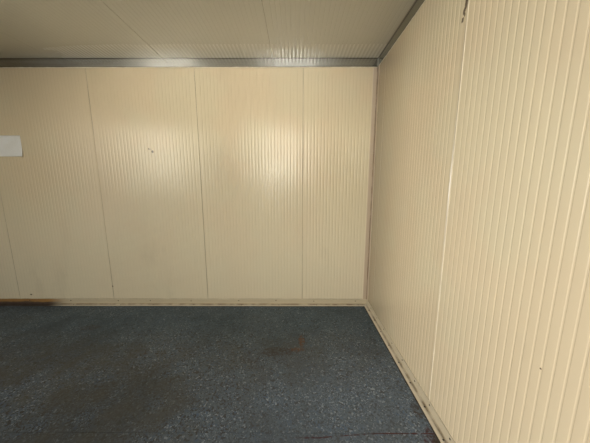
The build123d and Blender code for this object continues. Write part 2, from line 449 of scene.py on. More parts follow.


# %% [markdown]
# ## The panel paint
#
# The panels are coil-coated sheet: cream, satin, and never quite flat. Three things make it
# read as that. The sheet ripples gently, which breaks a reflection into upright streaks on the
# ribs. Hands and boots leave smudges low down inside, dust darkens the joints, and rain leaves
# lines outside. Painted shade darkens the end walls towards the back corner and draws lines
# over the skirting and under the strip, and the lower back wall is painted paler, as light
# thrown up by the floor. And each panel is a shade apart from the next, because they are cut
# from different coils.

# %% List the damage and the dark lines
RIB_MARGIN = 0.050
RIB_PITCH = 0.900 / 28
CREAM = rgb(0.66, 0.545, 0.365)
CREAM_SHADE = rgb(0.60, 0.485, 0.315)
FADED = rgb(0.60, 0.56, 0.38)
# Painted light: the paler cream of the lower back wall, for light thrown up by the floor
BOUNCE_LIGHT = rgb(0.70, 0.635, 0.48)
# Dirt, and the painted shade of the corner and of the lines over the skirting and under the strip
GRIME_AND_SHADE = rgb(0.17, 0.13, 0.08)
RUST = rgb(0.16, 0.055, 0.02)
DARK_RUST = rgb(0.045, 0.024, 0.016)

# Damage that shows, and two marks of the nail's painted shadow: centre from the back right
# corner, how the spot is drawn out, radius
WALL_SPOTS = [
    (from_corner(0.0, 1.192, 2.13), (1, 1.1, 0.30), 0.017),
    (from_corner(0.0, 1.190, 2.060), (1, 1.1, 0.40), 0.012),
    (from_corner(0.0, 1.180, 2.035), (1, 1.0, 0.55), 0.009),
    (from_corner(0.0, 1.187, 2.018), (1, 1.2, 0.6), 0.006),
    (from_corner(0.0, 1.176, 2.003), (1, 0.9, 0.65), 0.008),
    (from_corner(0.0, 1.729, 0.711), (1, 1, 1), 0.0035),
    (from_corner(2.683, 0.0, 0.204), (1, 1, 0.7), 0.007),
    (from_corner(3.561, 0.0, 0.111), (0.7, 1, 1.2), 0.010),
    # The last two lie beside the nail: painted shadow of the nail
    (from_corner(2.135, 0.0, 1.578), (0.8, 1, 0.7), 0.010),
    (from_corner(2.170, 0.0, 1.604), (1, 1, 0.7), 0.006),
]


def dark_lines(vector, level, along):
    """Dark lines: painted shade over the skirting and under the strip, and dirt, in broken
    lengths, in the joints.
    """
    # Painted shade: a line just over the skirting's top and one just under the strip
    foot = ramp(level, skirting_top + 0.006, skirting_top + 0.002, 0.0, 0.9)
    head = ramp(level, strip_z - 0.007, strip_z - 0.003, 0.0, 0.5)
    level_lines = highest(foot, head) * ramp(noise(vector, 9.0), 0.3, 0.6, 0.4, 1.0)
    off_joint = abs(calc("FRACT", along + 0.5) - 0.5)
    streaks = noise(stretched(vector, 1, 1, 1.5), 1.0, detail=4.0)
    joints = ramp(off_joint, 0.0042, 0.0022) * ramp(streaks, 0.38, 0.62, 0.05, 0.5)
    return highest(level_lines, joints)


def add_spots(vector, colour, spots, strength, spot_colour):
    """The colour with a list of ragged spots on it."""
    for centre, squash, radius in spots:
        spot = use_group("Ragged spot", Vector=vector, Centre=centre, Squash=squash, Radius=radius)
        colour = blend(spot * strength, colour, spot_colour)
    return colour


print("wall:", len(WALL_SPOTS), "spots of damage, ribs every", round(RIB_PITCH * 1000, 1), "mm")

# %% [markdown]
# The paint is laid in the order in which it aged: the coil's two creams, the places where it
# faded, the paler lower back wall that is painted light, then the dirt of the room with its
# painted shade and the dirt of the weather, and the damage, with the nail's painted shadow, on
# top.

# %% Paint the wall panels
def wall_paint():
    """Satin cream paint. Along runs with X on the back wall and with Y on the end walls."""
    material, vector = new_material("cream_panel_paint")
    place = axis_values(vector)
    tone = noise(vector, 0.9, detail=3.0) * 0.7 + panel_tone(vector) * 0.3
    faded = ramp(noise(vector, 2.1, detail=2.0), 0.40, 0.62, 0.0, 0.3)
    colour = blend(faded, blend(tone, CREAM, CREAM_SHADE), FADED)
    outside = outside_mask(vector)
    inside = 1.0 - outside
    on_end = above(abs(place["X"]), wall_x - sheet_gauge)
    # Painted light: the lower back wall turns paler towards the floor, as if lit from it
    floor_bounce = ramp(place["Z"], floor_z + 1.5, floor_z + 0.3, 0.0, 0.55) * (1.0 - on_end)
    colour = blend(floor_bounce * inside, colour, BOUNCE_LIGHT)

    # In the room: scuffs low down, painted shade towards the back corner, and the dark lines
    smudges = use_group("Smudges", Vector=stretched(vector, 1, 1, 0.45), Scale=1.8, Cover=0.5)
    scuffs = smudges * ramp(place["Z"], floor_z + 1.1, floor_z, 0.10, 0.42)
    # Painted shade: the end walls darken towards the back corner
    corner_shade = ramp(place["Y"], wall_y - 0.9, wall_y - 0.05, 0.0, 0.55) * on_end
    along = place["X"] + on_end * (place["Y"] - place["X"])
    lines = dark_lines(vector, place["Z"], along)
    # The scuffs and the joints are dirt; the corner and the lines at the skirting and strip are
    # painted shade
    dirt = highest(scuffs, corner_shade, lines) * inside

    # Outside: rain lines from the fascia down and splashes from the ground up
    rain = use_group("Run-off", Vector=vector, Top=ceiling_z - 0.08, Length=1.7)
    splash = ramp(place["Z"], 0.75, 0.14, 0.0, 0.45) * ramp(smudges, 0.0, 1.0, 0.45, 1.0)
    weather = highest(rain * 0.34, splash) * outside
    colour = blend(highest(dirt, weather), colour, GRIME_AND_SHADE)
    colour = add_spots(vector, colour, WALL_SPOTS, 0.85, DARK_RUST)
    roughness = ramp(noise(vector, 3.0, detail=4.0), 0.3, 0.7, 0.20, 0.255) + lines * 0.3
    height = use_group("Sheet ripple", Vector=vector, Ripple=0.45, Grain=0.1)
    pillow = use_group("Rib pillow", Along=along, Margin=RIB_MARGIN, Pitch=RIB_PITCH)
    return finished(material, colour, roughness, height + pillow * 0.15, depth=0.004)


panel_paint = wall_paint()

# %% [markdown]
# ## The ceiling paint and the weather side of the roof
#
# The roof panels show their fine ribs to the room and their crowns to the sky. Inside they are
# a little greyer than the walls, and darker, which is painted shade of the ceiling. Along the
# walls a dark line of dirt and painted shade marks the gap at the strip. Beside the strip,
# towards the right, the sheet is rubbed glossy between its ribs and left dull on them, so a
# reflection there breaks into fine lines. Outside, standing water leaves rings and dark flats
# between the crowns.

# %% Paint the roof panels
# The ceiling's cream is darker than the walls': painted shade
CEILING, CEILING_SHADE = rgb(0.495, 0.455, 0.345), rgb(0.45, 0.41, 0.305)
# Weather dirt outside, and inside the painted shade and dirt of the gap along the walls
ROOF_DIRT_AND_SHADE = rgb(0.13, 0.11, 0.075)


def roof_paint():
    """Greyer cream, darkened as painted shade. The ripple's long axis is turned from Z to Y, along
    the ribs.
    """
    material, vector = new_material("ceiling_paint")
    place = axis_values(vector)
    tone = noise(vector, 1.1, detail=3.0) * 0.6 + panel_tone(vector) * 0.4
    colour = blend(tone, CEILING, CEILING_SHADE)
    outside = above(place["Z"], ceiling_z + panel_thickness / 2)
    inside = 1.0 - outside
    # Painted shade, with dirt: a dark line on the ceiling along the walls, by the strip
    shade_and_dirt_line = ramp(past_walls(vector), -0.014, -0.007, 0.0, 0.8) * inside
    smudges = use_group("Smudges", Vector=vector, Scale=1.7, Cover=0.4)
    roof_top = ceiling_z + panel_thickness
    weather = smudges * ramp(place["Z"], roof_top + 0.02, roof_top, 0.25, 0.75) * outside
    colour = blend(highest(weather, shade_and_dirt_line), colour, ROOF_DIRT_AND_SHADE)

    quarter_turn = {"Vector": vector, "Rotation": (math.radians(90), 0, 0)}
    turned = Value(put(vector.tree, "ShaderNodeMapping", quarter_turn).outputs["Vector"])
    height = use_group("Sheet ripple", Vector=turned, Ripple=0.25, Grain=0.1)
    along = wall_x + panel_thickness + 10.0 - place["X"]
    pillow = use_group("Rib pillow", Along=along, Margin=RIB_MARGIN, Pitch=RIB_PITCH)

    # Beside the strip the ribs are dull: how far from the back wall, and how far from the right
    by_strip = ramp(place["Y"], wall_y - 0.25, wall_y - 0.15) * inside
    by_strip = by_strip * ramp(place["X"], wall_x - 3.1, wall_x - 2.1)
    crown_only = by_strip * ramp(pillow, 0.76, 0.58, 0.0, 0.30)
    grain = noise(stretched(vector, 1, 9, 1), 3.0, detail=3.0)
    even = ramp(grain, 0.3, 0.7, 0.20, 0.24) + by_strip * 0.02
    roughness = even + crown_only + weather * 0.4
    return finished(material, colour, roughness, height + pillow * 0.025, depth=0.004)


ceiling_paint = roof_paint()

# %% [markdown]
# ## Galvanised steel
#
# The strip under the ceiling is rolled from galvanised sheet, so it mirrors the room in long
# smeared patches: fine level rolling lines in the bump do that. The base frame has hot-dip zinc,
# which freezes in crystals a centimetre or two across. After years outdoors it is dull, chalky,
# and rusty where it was scraped. One function makes both, with the share of the crystals given.

# %% Galvanise the roof frame and the base
ZINC_DIRT, ZINC_EDGE_SHADE = rgb(0.22, 0.19, 0.14), rgb(0.12, 0.095, 0.06)


def zinc(name, bright, crystals, roughness_low, roughness_high, dirty, rust_cover, rolled):
    """Galvanised steel: streaks from noise drawn out along the strip, crystals from the cells of
    a Voronoi pattern with one grey each. The crystals' share is given, the streaks take the rest.
    Rolled is the depth of the rolling lines, which smear a reflection out across them."""
    material, vector = new_material(name)
    streaks = noise(stretched(vector, 0.9, 0.9, 75), 1.0, detail=5.0, roughness=0.6)
    broad = noise(stretched(vector, 2.6, 2.6, 0.5), 1.0, detail=2.0)
    lines = streaks * 0.6 + broad * 0.4
    grey = cell_numbers(vector, 85.0) * crystals + lines * (1.0 - crystals)
    light = rgb(bright, bright * 0.985, bright * 0.92)
    dark = rgb(bright * 0.74, bright * 0.73, bright * 0.66)
    colour = blend(ramp(grey, 0.3, 0.7), dark, light)
    dirt = use_group("Smudges", Vector=vector, Scale=3.1, Cover=0.3) * dirty
    colour = blend(dirt, colour, ZINC_DIRT)
    level = axis_values(vector)["Z"]
    # Painted shade: darker along the strip's top and foot, where it meets the ceiling and the wall
    from_edge = calc("MINIMUM", abs(level - strip_z), abs(level - ceiling_z))
    colour = blend(ramp(from_edge, 0.009, 0.004, 0.0, 0.7), colour, ZINC_EDGE_SHADE)
    rust = use_group("Smudges", Vector=vector, Scale=5.3, Cover=rust_cover)
    colour = blend(rust, colour, RUST)
    spread = ramp(grey, 0.25, 0.75, roughness_low, roughness_high)
    roughness = spread + highest(dirt, rust) * 0.4
    rolling = noise(stretched(vector, 2.0, 2.0, 300), 1.0, detail=2.0)
    waves = noise(stretched(vector, 3, 3, 9), 1.0, detail=1.0)
    height = streaks * 0.30 + rolling * rolled + waves
    return finished(material, colour, roughness, height, depth=0.0015, metallic=1.0 - rust)


# Name, brightness, share of the crystals, roughness low and high, dirt, cover of rust, rolling
bright_zinc = zinc("bright_zinc", 0.50, 0.06, 0.13, 0.17, 0.08, -0.2, 0.30)
pale_zinc = zinc("pale_zinc", 0.62, 0.05, 0.40, 0.50, 0.1, -0.2, 0.10)
dull_zinc = zinc("weathered_zinc", 0.46, 0.45, 0.45, 0.62, 0.6, 0.30, 0.16)

# %% [markdown]
# ## The floor covering
#
# The covering is sheet vinyl with pressed-in chips: slate, black, grey and a little blue. Small
# chips are cells of a Voronoi pattern, each with its own random colour, at two sizes, and noise
# bends their edges.

# %% Press in the chips
# Colours of the chips, and from which random number on each is picked
CHIPS = [
    (0.0, rgb(0.012, 0.013, 0.015)),
    (0.26, rgb(0.072, 0.108, 0.158)),
    (0.55, rgb(0.112, 0.158, 0.215)),
    (0.80, rgb(0.050, 0.104, 0.200)),
    (0.91, rgb(0.300, 0.360, 0.430)),
]


def chip_colours(vector, scale):
    """Colour of each chip: the cell's random number picks from the row of colours."""
    row = put(vector.tree, "ShaderNodeValToRGB", {"Fac": cell_numbers(vector, scale)})
    row.color_ramp.interpolation = "CONSTANT"
    elements = row.color_ramp.elements
    for number, (position, colour) in enumerate(CHIPS):
        element = elements[number] if number < 2 else elements.new(position)
        element.position, element.color = position, colour
    return Value(row.outputs["Color"])


def chips(vector):
    """Coarse chips, and fine ones where a noise is above its middle."""
    inputs = {"Vector": vector, "Scale": 60.0, "Detail": 2.0}
    bent = Value(put(vector.tree, "ShaderNodeTexNoise", inputs).outputs["Color"])
    warp = vector_calc("SCALE", {0: bent, "Scale": 0.006})
    flat = vector_calc("ADD", {0: vector, 1: warp})
    pick = above(noise(vector, 30.0, detail=2.0), 0.52)
    return blend(pick, chip_colours(flat, 110.0), chip_colours(flat, 250.0))


print("chips:", len(CHIPS), "colours at two sizes")

# %% [markdown]
# Over the chips lies what a site leaves on a floor: trodden dirt, brown smears and dark grit, a
# black line along the skirting, two rust stains, and by the end wall a dark red line of old glue
# that has crept out of the seam. The stains whose places show are kept in a list.

# %% List the stains
# The glue shows at the end wall only: where it turns off the seam, where it ends, and how far off
GLUE_TURN, GLUE_END, GLUE_DRIFT = 0.30, 0.68, 0.022
WINE = rgb(0.052, 0.015, 0.025)
RUSTY = rgb(0.115, 0.045, 0.014)
MUD = rgb(0.040, 0.024, 0.016)
DARK_BLUE_GREY = rgb(0.022, 0.036, 0.044)
DARK_GREY = rgb(0.028, 0.027, 0.022)

# Stains: centre from the back right corner, how the stain is drawn out, radius, strength, colour
FLOOR_STAINS = [
    (from_corner(0.705, 0.60, 0.0), (2.6, 0.80, 0.0), 0.070, 1.0, RUSTY),
    (from_corner(0.74, 0.70, 0.0), (0.7, 1.7, 0.0), 0.045, 0.9, RUSTY),
    (from_corner(0.90, 0.72, 0.0), (0.6, 1.5, 0.0), 0.085, 0.8, MUD),
    (from_corner(1.07, 0.79, 0.0), (0.9, 1.1, 0.0), 0.090, 0.35, MUD),
    (from_corner(0.060, 1.352, 0.0), (1.6, 0.65, 0.0), 0.040, 1.0, WINE),
    (from_corner(0.100, 1.385, 0.0), (2.2, 0.55, 0.0), 0.030, 1.0, WINE),
    (from_corner(0.050, 1.400, 0.0), (2.4, 0.7, 0.0), 0.045, 1.0, MUD),
    (from_corner(0.065, 1.21, 0.0), (1.5, 0.8, 0.0), 0.045, 0.8, MUD),
    (from_corner(1.9, 0.75, 0.0), (1.0, 1.0, 0.0), 0.018, 0.8, MUD),
    (from_corner(2.6, 0.42, 0.0), (0.6, 1.3, 0.0), 0.060, 0.5, MUD),
    (from_corner(2.95, 1.15, 0.0), (0.5, 0.7, 0.0), 0.140, 0.8, MUD),
    # The last two are broad, faint darker patches
    (from_corner(1.22, 0.56, 0.0), (0.8, 1.0, 0.0), 0.380, 0.32, DARK_BLUE_GREY),
    (from_corner(1.85, 1.22, 0.0), (0.8, 1.0, 0.0), 0.420, 0.36, DARK_GREY),
]
print("floor:", len(FLOOR_STAINS), "stains")

# %% [markdown]
# The dirt is laid in thin layers, broad ones first, and each is broken by noise of its own, so
# that the chips still show through. A pale layer by the open front, on the right, is painted
# light. The glue and the stains come last.

# %% Lay the speckled vinyl
def dirt_and_light_by_zone(vector, place, cloud, colour):
    """Layers by zone: painted light at the front right, darker and bluer by the back wall, and
    brown dirt in the middle.
    """
    colour = blend(ramp(cloud, 0.42, 0.66, 0.0, 0.62), colour, rgb(0.038, 0.047, 0.056))
    smears = use_group("Smudges", Vector=stretched(vector, 0.6, 1.3, 1), Scale=2.3, Cover=0.46)
    colour = blend(smears * 0.5, colour, rgb(0.063, 0.060, 0.052))
    # Painted light: the floor by the open front, on the right, is lightened towards pale blue-grey
    lit_front = ramp(place["X"], wall_x - 1.9, wall_x - 0.4)
    lit_front = lit_front * ramp(place["Y"], wall_y - 0.4, wall_y - 1.2)
    colour = blend(lit_front * 0.22, colour, rgb(0.260, 0.330, 0.430))
    by_wall = ramp(place["Y"], wall_y - 0.9, wall_y - 0.3)
    colour = blend(by_wall * 0.5, colour, rgb(0.022, 0.054, 0.078))
    middle = (1.0 - lit_front) * (1.0 - by_wall)
    brown = middle * ramp(noise(vector, 7.0, detail=6.0), 0.3, 0.7, 0.2, 0.75)
    colour = blend(brown, colour, rgb(0.074, 0.072, 0.061))
    grit = use_group("Smudges", Vector=vector, Scale=26.0, Cover=0.30)
    return blend(grit * 0.8, colour, rgb(0.018, 0.017, 0.018))


def seam_glue(vector, place):
    """Mask of the glue: a ragged, broken line on the seam, which drifts off it at its far end."""
    seam_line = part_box("floor_covering_front")[1].y
    drift = ramp(place["X"], wall_x - GLUE_TURN, wall_x - GLUE_END, 0.0, GLUE_DRIFT)
    off_seam = abs(place["Y"] - seam_line + drift)
    ragged = noise(vector, 45.0, detail=5.0) * 0.016
    glue = ramp(off_seam + ragged, 0.0135, 0.0090)
    glue = glue * ramp(place["X"], wall_x - GLUE_END - 0.10, wall_x - GLUE_END)
    broken = ramp(noise(stretched(vector, 9, 1, 1), 1.0, detail=3.0), 0.40, 0.52, 0.10, 1.0)
    return glue * (broken * 0.9)


def floor_vinyl():
    """Vinyl: the chips, and over them the dirt, the edge line, the glue and the stains."""
    material, vector = new_material("speckled_vinyl")
    place = axis_values(vector)
    cloud = noise(vector, 1.7, detail=6.0, roughness=0.62)
    colour = dirt_and_light_by_zone(vector, place, cloud, chips(vector))

    # Dark line of dirt where the covering meets the skirting
    edge = ramp(past_walls(vector) * -1.0, skirting_foot + 0.014, skirting_foot + 0.005)
    uneven = ramp(noise(vector, 16.0, detail=5.0), 0.3, 0.6, 0.45, 1.0)
    colour = blend(edge * uneven, colour, rgb(0.020, 0.013, 0.007))
    colour = blend(seam_glue(vector, place), colour, WINE)
    for centre, squash, radius, strength, stain_colour in FLOOR_STAINS:
        stain = use_group("Ragged spot", Vector=vector, Centre=centre, Squash=squash, Radius=radius)
        thinned = stain * ramp(noise(vector, 55.0, detail=5.0), 0.3, 0.65)
        colour = blend(thinned * strength, colour, stain_colour)
    roughness = ramp(cloud, 0.3, 0.7, 0.42, 0.62)
    height = noise(vector, 260.0, detail=3.0) + noise(vector, 3.0) * 6.0
    return finished(material, colour, roughness, height, depth=0.0004)


vinyl = floor_vinyl()

# %% [markdown]
# ## The trims
#
# Skirting and corner angles are the panels' sheet, folded. They get a darker cream than the
# panels, with hand and mop dirt; in the corner angle the darker cream is painted shade. Their
# paler edges are painted highlights, the skirting's upturned foot is painted light, and the
# skirting rusts at the far left where the wall has leaked.

# %% Paint the trims
# Painted light: the paler upturned foot of the skirting, and painted highlights on folded edges
LIT_FOOT, EDGE_HIGHLIGHT = rgb(0.86, 0.80, 0.69), rgb(0.78, 0.69, 0.50)
# Dirt, and the painted shade in the corner angle's fold
TRIM_DIRT_AND_SHADE = rgb(0.18, 0.125, 0.065)
GOLDEN, DARK_GOLDEN = rgb(0.34, 0.175, 0.032), rgb(0.20, 0.095, 0.022)
CRUST = rgb(0.032, 0.014, 0.008)


def leak(vector, place):
    """Where the skirting is eaten by rust, and the rust's colour: golden, with a dark crust."""
    far_left = ramp(place["X"], wall_x - 3.15, wall_x - 3.40)
    far_end = ramp(place["X"], -wall_x + 0.5, -wall_x + 1.0)
    eaten = far_left * far_end * above(place["Y"], wall_y - skirting_foot - 0.002)
    ragged = noise(stretched(vector, 6, 6, 22), 1.0, detail=6.0)
    crust = ramp(place["Z"] - ragged * 0.03, floor_z + 0.022, floor_z + 0.010)
    return eaten, blend(crust, blend(ragged, GOLDEN, DARK_GOLDEN), CRUST)


def trim_paint(name, light, dark, cover, skirting):
    """Cream paint on folded sheet, dark in the fold (dirt on the skirting, painted shade in the
    corner angle), with paler edges that are painted highlights.
    """
    material, vector = new_material(name)
    place = axis_values(vector)
    colour = blend(noise(vector, 3.0, detail=4.0), light, dark)
    roughness = ramp(noise(vector, 20.0), 0.3, 0.7, 0.34, 0.5)
    if skirting:
        from_wall = past_walls(vector) * -1.0
        fold = ramp(from_wall + (place["Z"] - floor_z), 0.021, 0.007, 0.0, 0.80)
        # Painted light: the foot leg, which faces up, is much paler than the wall leg
        on_foot = ramp(place["Z"], floor_z + 0.004, floor_z + 0.002)
        colour = blend(on_foot * 0.85, colour, LIT_FOOT)
        to_edge = highest(place["Z"], from_wall + (skirting_top - skirting_foot))
        lit_edge = ramp(to_edge, skirting_top - 0.004, skirting_top - 0.001)
    else:
        from_fold = abs(abs(place["X"]) - wall_x) + (wall_y - place["Y"])
        # Painted shade: the corner angle darkens into its fold, in the room's corner
        fold = ramp(from_fold, 0.013, 0.005, 0.0, 1.0)
        lit_edge = ramp(from_fold, 0.040, 0.044)
    # Painted highlight: the folded edges are paler
    colour = blend(lit_edge * 0.55, colour, EDGE_HIGHLIGHT)
    smudges = use_group("Smudges", Vector=vector, Scale=7.0, Cover=cover)
    uneven = ramp(noise(vector, 14.0, detail=5.0), 0.3, 0.62, 0.3, 1.0)
    colour = blend(highest(smudges * 0.55, fold * uneven), colour, TRIM_DIRT_AND_SHADE)
    if skirting:
        eaten, rust_colour = leak(vector, place)
        colour = blend(eaten * 0.95, colour, rust_colour)
        roughness = roughness + eaten * 0.35
    height = use_group("Sheet ripple", Vector=vector, Ripple=0.25, Grain=0.6)
    return finished(material, colour, roughness, height, depth=0.003)


skirting_paint = trim_paint(
    "skirting_paint", rgb(0.54, 0.460, 0.320), rgb(0.46, 0.390, 0.265), 0.30, skirting=True
)
# The corner angle's darker cream is painted shade of the corner
corner_paint = trim_paint(
    "corner_trim_paint", rgb(0.50, 0.395, 0.285), rgb(0.45, 0.355, 0.255), 0.15, skirting=False
)

# %% [markdown]
# ## The weather steel
#
# Posts and fascia are painted a pale grey, which frames the cream panels. Rain draws lines down
# from every top edge, and the posts' feet stand in splashes, so rust creeps up them.

# %% Paint the posts and the fascia
def weather_paint(name, top, run_length, foot_rust):
    """Grey paint outdoors: run-off below the level top, and rust spots near the ground."""
    material, vector = new_material(name)
    level = axis_values(vector)["Z"]
    pale, darker = rgb(0.43, 0.435, 0.42), rgb(0.37, 0.375, 0.36)
    colour = blend(noise(vector, 1.6, detail=4.0), pale, darker)
    rain = use_group("Run-off", Vector=vector, Top=top, Length=run_length)
    smudges = use_group("Smudges", Vector=vector, Scale=4.0, Cover=0.35)
    dirt = highest(rain * 0.5, smudges * 0.3)
    colour = blend(dirt, colour, GRIME_AND_SHADE)
    spots = use_group("Smudges", Vector=vector, Scale=11.0, Cover=0.40)
    rust = spots * (ramp(level, 0.75, 0.15, 0.0, foot_rust) + 0.08)
    colour = blend(rust, colour, RUST)
    roughness = 0.36 + highest(dirt, rust) * 0.45
    height = use_group("Sheet ripple", Vector=vector, Ripple=0.3, Grain=0.8)
    return finished(material, colour, roughness, height, depth=0.003)


fascia_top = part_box("roof_fascia_back")[1].z
fascia_paint = weather_paint("fascia_paint", fascia_top, run_length=0.35, foot_rust=0.0)
post_paint = weather_paint("post_paint", strip_z, run_length=1.6, foot_rust=0.9)

# %% [markdown]
# ## Board, rubber, sealant and plate
#
# The small finishes still have their detail: the boards show their plies from below, the
# washers are dull rubber, sealant yellows unevenly, and the bare plate has hand marks.

# %% Make the small finishes
def board_ply():
    """Ply: thin level layers from a wave along Z, with long grain along X."""
    material, vector = new_material("floor_ply")
    inputs = {"Vector": vector, "Scale": 55.0, "Distortion": 0.6}
    wave = put(vector.tree, "ShaderNodeTexWave", inputs, bands_direction="Z")
    grain = noise(stretched(vector, 3, 45, 45), 1.0, detail=6.0)
    layers = Value(wave.outputs["Fac"]) * 0.35 + grain * 0.65
    colour = blend(layers, rgb(0.22, 0.13, 0.07), rgb(0.44, 0.30, 0.17))
    damp = use_group("Smudges", Vector=vector, Scale=1.4, Cover=0.5)
    colour = blend(damp * 0.6, colour, rgb(0.07, 0.05, 0.035))
    return finished(material, colour, ramp(grain, 0.3, 0.7, 0.55, 0.75), grain, depth=0.0006)


def plain_stuff(name, light, dark, scale, rough_low, rough_high, depth, metal=0.0):
    """Small finish of two near colours clouded by noise, with a fine bump of the given depth."""
    material, vector = new_material(name)
    cloud = noise(vector, scale, detail=5.0)
    fine = noise(vector, scale * 9, detail=3.0)
    both = cloud * 0.7 + fine * 0.3
    colour = blend(ramp(both, 0.3, 0.7), rgb(*light), rgb(*dark))
    roughness = ramp(cloud, 0.3, 0.7, rough_low, rough_high)
    return finished(material, colour, roughness, both, depth, metal)


# Name, light and dark colour, scale of the noise, roughness low and high, bump, metal
SMALL_FINISHES = [
    ("screw_steel", (0.50, 0.50, 0.48), (0.28, 0.25, 0.20), 90, 0.3, 0.5, 0.0002, 1.0),
    ("dark_screw", (0.022, 0.016, 0.011), (0.010, 0.007, 0.005), 120, 0.5, 0.65, 0.0002),
    ("washer_rubber", (0.03, 0.03, 0.03), (0.06, 0.055, 0.05), 80, 0.6, 0.8, 0.0003),
    ("sealant", (0.70, 0.64, 0.50), (0.48, 0.41, 0.28), 18, 0.4, 0.6, 0.0006),
    # The joint filler's pale colour is a painted highlight of the joint's edge
    ("joint_highlight_filler", (0.75, 0.66, 0.49), (0.64, 0.55, 0.385), 14, 0.58, 0.72, 0.0004),
    ("seam_filler", (0.095, 0.020, 0.022), (0.035, 0.012, 0.012), 70, 0.5, 0.7, 0.0004),
    ("plate_plastic", (0.80, 0.80, 0.78), (0.72, 0.71, 0.66), 9, 0.30, 0.42, 0.0003),
]
ply = board_ply()
small = {row[0]: plain_stuff(*row) for row in SMALL_FINISHES}

# %% [markdown]
# Each panel, rail and trim of the frame carries the name of its stuff, and takes the finish that
# was made for it.

# %% Dress the frame
FINISHES = {
    "wall_panel": panel_paint,
    "roof_panel": ceiling_paint,
    "galvanised_beam": bright_zinc,
    "base_steel": dull_zinc,
    "post_steel": post_paint,
    "fascia": fascia_paint,
    "floor_board": ply,
    "floor_covering": vinyl,
    "skirting": skirting_paint,
    "corner_trim": corner_paint,
}
slot_of = {part["node"]: part["material_slot"] for part in frame["record"]["subparts"]}
for name, node in frame["nodes"].items():
    node.data.materials.clear()
    node.data.materials.append(FINISHES[slot_of[name]])
print("finished", len(slot_of), "nodes with", len(set(slot_of.values())), "finishes")

# %% [markdown]
# ## Screws and rivets
#
# A head is a turned profile: rows go from the middle of the top outwards and down the rim. A
# hexagon is the same with its radius bent by the angle. All heads of one sort are one mesh.

# %% Turn the heads
def basis(normals):
    """Two unit vectors across each normal, so that a flat head can be laid on its face."""
    helper = np.where(np.abs(normals[:, 2:3]) > 0.9, [[1.0, 0, 0]], [[0, 0, 1.0]])
    first = np.cross(helper, normals)
    first /= np.linalg.norm(first, axis=1, keepdims=True)
    return first, np.cross(normals, first)


def heads(name, places, normals, profile, sides, hexagon_rows=()):
    """Heads on faces: point = place + r cos(a) first + r sin(a) second + h normal.

    The profile holds pairs (r, h). Rows in hexagon_rows have r divided by the cosine of the
    angle to the nearest flat, which turns a circle into a hexagon."""
    places, normals = np.array(places, float), np.array(normals, float)
    first, second = basis(normals)
    radius, height = np.array(profile, float).T
    angle = np.arange(sides) * 2 * np.pi / sides
    ring = np.tile(radius[:, None], (1, sides))
    flat = np.cos((angle + np.pi / 6) % (np.pi / 3) - np.pi / 6)
    for row in hexagon_rows:
        ring[row] /= flat
    across = (ring * np.cos(angle))[None, :, :, None] * first[:, None, None, :]
    across = across + (ring * np.sin(angle))[None, :, :, None] * second[:, None, None, :]
    rise = height[None, :, None, None] * normals[:, None, None, :]
    return grid_mesh(name, places[:, None, None, :] + across + rise, round_columns=True)


# Profiles (radius, height) from the middle of the top, down the rim and back under the head
UNDER = (0.0, 0.0)
PAN_HEAD = [
    (0.0, 0.0010), (0.0012, 0.0010), (0.0015, 0.0023), (0.0032, 0.0021), (0.0046, 0.0011),
    (0.0049, 0.0), UNDER,
]
HEX_HEAD = [
    (0.0, 0.0058), (0.0036, 0.0058), (0.0040, 0.0052), (0.0040, 0.0014), (0.0070, 0.0012),
    (0.0072, 0.0), UNDER,
]
RIVET = [(0.0, 0.0016), (0.0012, 0.0017), (0.0030, 0.0011), (0.0042, 0.0002), (0.0042, 0.0), UNDER]
SADDLE = [(0.0, 0.0030), (0.0060, 0.0028), (0.0110, 0.0016), (0.0120, 0.0), UNDER]


def spaced(start, stop, spacing, jitter=0.0, seed=1):
    """Places from start to stop, evenly spaced at about the given spacing, each a little off."""
    count = max(2, int(round(abs(stop - start) / spacing)) + 1)
    steps = np.linspace(start, stop, count)
    steps[1:-1] += np.random.default_rng(seed).uniform(-jitter, jitter, count - 2)
    return steps


print("head profiles:", ", ".join(str(len(p)) for p in (PAN_HEAD, HEX_HEAD, RIVET, SADDLE)), "rows")

# %% [markdown]
# The skirting is held by small dark screws in both of its legs. They are not quite in line:
# whoever fixed them worked on their knees.

# %% Screw down the skirting
def skirting_screws():
    """Screws in both legs of the back skirting and of the two end ones."""
    leg_middle = floor_z + 0.043
    foot_middle = skirting_foot * 0.36
    lift = floor_z + sheet_gauge
    stagger = 0.03
    places, normals = [], []
    run = spaced(-wall_x + 0.12, wall_x - 0.12, spacing=0.42, jitter=0.05, seed=11)
    for seed, x in enumerate(run):
        wobble = np.random.default_rng(seed).uniform(-0.004, 0.004, 2)
        places += [(x, wall_y - sheet_gauge, leg_middle + wobble[0])]
        places += [(x + stagger, wall_y - foot_middle + wobble[1], lift)]
        normals += [(0, -1, 0), (0, 0, 1)]
    for side in (1, -1):
        run = spaced(wall_y - 0.123, -wall_y + 0.141, spacing=0.178, jitter=0.005, seed=12 + side)
        for seed, y in enumerate(run):
            wobble = np.random.default_rng(seed + 70).uniform(-0.002, 0.002, 2)
            places += [(side * (wall_x - sheet_gauge), y - stagger, leg_middle + wobble[0])]
            places += [(side * (wall_x - foot_middle + wobble[1]), y, lift)]
            normals += [(-side, 0, 0), (0, 0, 1)]
    return heads("skirting_screws", places, normals, PAN_HEAD, sides=14)


add_piece(skirting_screws(), small["dark_screw"])

# %% [markdown]
# Blind rivets hold the corner angles, the posts and the fascia, at the spacing that a fitter
# sets by eye with a hand's width or two.

